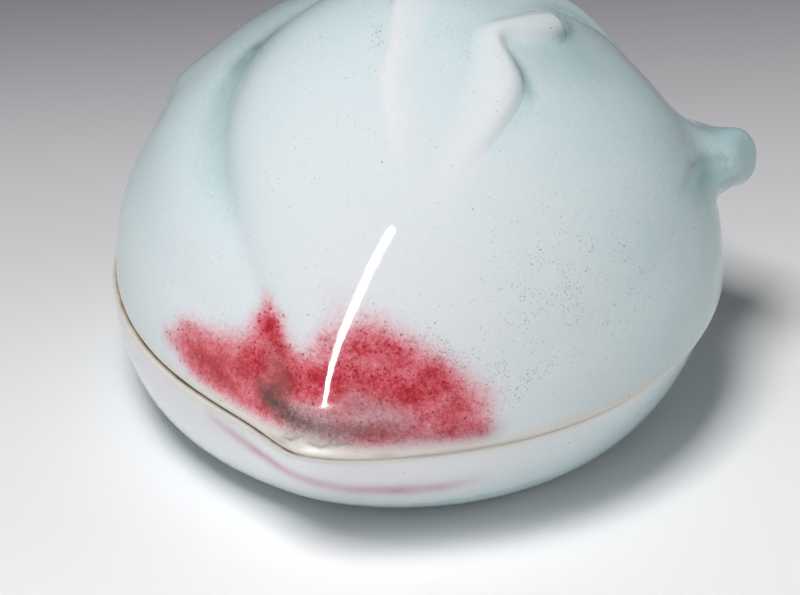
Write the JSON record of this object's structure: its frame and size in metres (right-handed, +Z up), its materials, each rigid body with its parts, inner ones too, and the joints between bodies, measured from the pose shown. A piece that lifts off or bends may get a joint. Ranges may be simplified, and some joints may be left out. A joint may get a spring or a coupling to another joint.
{
  "type": "peach-shaped incense box",
  "caption": "Small lidded porcelain incense box shaped as a peach with tip, cleft, twig and leaf; the tall lid lifts off a shallow dish with a locating flange.",
  "frame": {"origin": "on the table at the lid's vertical axis, in the plane of the foot ring", "axes": "+Z up, -Y to the front where the peach has its tip, +X to the right where the twig's cut end stands out"},
  "size_m": [0.0705, 0.0731, 0.0522],
  "materials": {
    "celadon_glaze": "glossy pale blue-green glaze with a red blush at the tip",
    "thin_glaze": "glossy glaze, thin and white on raised edges",
    "bare_biscuit": "matt unglazed porcelain"
  },
  "bodies": {
    "dish": {"base_dish": "celadon_glaze", "foot_ring": "bare_biscuit", "seat_flange": "bare_biscuit"},
    "lid": {"lid_shell": "celadon_glaze", "twig": "celadon_glaze", "leaf": "thin_glaze"}
  },
  "joints": [
    {"name": "lid_lift", "type": "slide", "parent": "dish", "child": "lid", "axis": [0, 0, 1], "range_m": [0, 0.06]}
  ]
}
